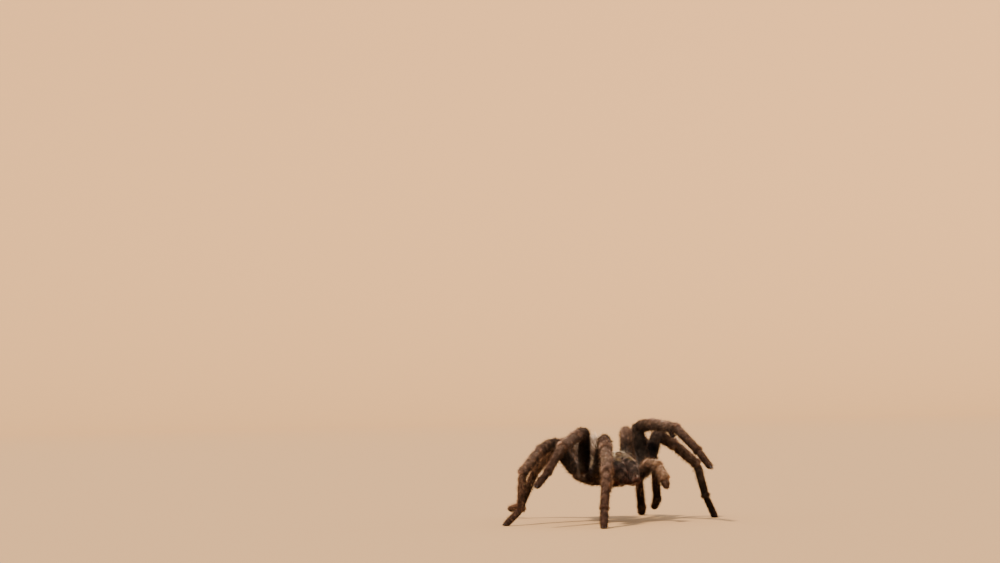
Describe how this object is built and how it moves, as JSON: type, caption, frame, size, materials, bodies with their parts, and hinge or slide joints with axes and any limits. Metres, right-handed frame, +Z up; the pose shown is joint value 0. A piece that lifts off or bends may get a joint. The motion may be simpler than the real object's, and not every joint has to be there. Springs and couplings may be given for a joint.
{
  "type": "tarantula",
  "caption": "Life-size still male tarantula in mid-stride, hairy, with jaws, palps, mating spurs and spinnerets.",
  "frame": {"origin": "on the floor, under the middle of the spider's bounding box", "axes": "the spider faces -Y, its left side is +X, +Z is up; the feet stand on z = 0"},
  "size_m": [0.082, 0.1034, 0.0352],
  "materials": {
    "leg_coat": "dark brown felt of short hair with long bristles",
    "carapace": "close pale golden hair",
    "abdomen_coat": "dark brown hair with long pale pinkish hairs",
    "underside_coat": "near black velvet",
    "jaw_coat": "grey-brown hair with rusty fringes",
    "soft_skin": "soft matt skin",
    "eyes": "glossy black on a small mound",
    "fangs": "polished black horn"
  },
  "bodies": {
    "root": {"abdomen": "abdomen_coat", "body_sides": "soft_skin", "carapace": "carapace", "chelicera_left": "jaw_coat", "chelicera_right": "jaw_coat", "eye_tubercle": "eyes", "fang_left": "fangs", "fang_right": "fangs", "leg_1_left_coxa": "underside_coat", "leg_1_left_femur": "leg_coat", "leg_1_left_metatarsus": "leg_coat", "leg_1_left_patella_tibia": "leg_coat", "leg_1_left_tarsus": "leg_coat", "leg_1_right_coxa": "underside_coat", "leg_1_right_femur": "leg_coat", "leg_1_right_metatarsus": "leg_coat", "leg_1_right_patella_tibia": "leg_coat", "leg_1_right_tarsus": "leg_coat", "leg_2_left_coxa": "underside_coat", "leg_2_left_femur": "leg_coat", "leg_2_left_metatarsus": "leg_coat", "leg_2_left_patella_tibia": "leg_coat", "leg_2_left_tarsus": "leg_coat", "leg_2_right_coxa": "underside_coat", "leg_2_right_femur": "leg_coat", "leg_2_right_metatarsus": "leg_coat", "leg_2_right_patella_tibia": "leg_coat", "leg_2_right_tarsus": "leg_coat", "leg_3_left_coxa": "underside_coat", "leg_3_left_femur": "leg_coat", "leg_3_left_metatarsus": "leg_coat", "leg_3_left_patella_tibia": "leg_coat", "leg_3_left_tarsus": "leg_coat", "leg_3_right_coxa": "underside_coat", "leg_3_right_femur": "leg_coat", "leg_3_right_metatarsus": "leg_coat", "leg_3_right_patella_tibia": "leg_coat", "leg_3_right_tarsus": "leg_coat", "leg_4_left_coxa": "underside_coat", "leg_4_left_femur": "leg_coat", "leg_4_left_metatarsus": "leg_coat", "leg_4_left_patella_tibia": "leg_coat", "leg_4_left_tarsus": "leg_coat", "leg_4_right_coxa": "underside_coat", "leg_4_right_femur": "leg_coat", "leg_4_right_metatarsus": "leg_coat", "leg_4_right_patella_tibia": "leg_coat", "leg_4_right_tarsus": "leg_coat", "palp_left_coxa": "underside_coat", "palp_left_femur": "leg_coat", "palp_left_patella_tibia": "leg_coat", "palp_left_tarsus": "leg_coat", "palp_right_coxa": "underside_coat", "palp_right_femur": "leg_coat", "palp_right_patella_tibia": "leg_coat", "palp_right_tarsus": "leg_coat", "pedicel": "soft_skin", "spinneret_left": "abdomen_coat", "spinneret_right": "abdomen_coat", "sternum": "underside_coat"}
  },
  "joints": []
}
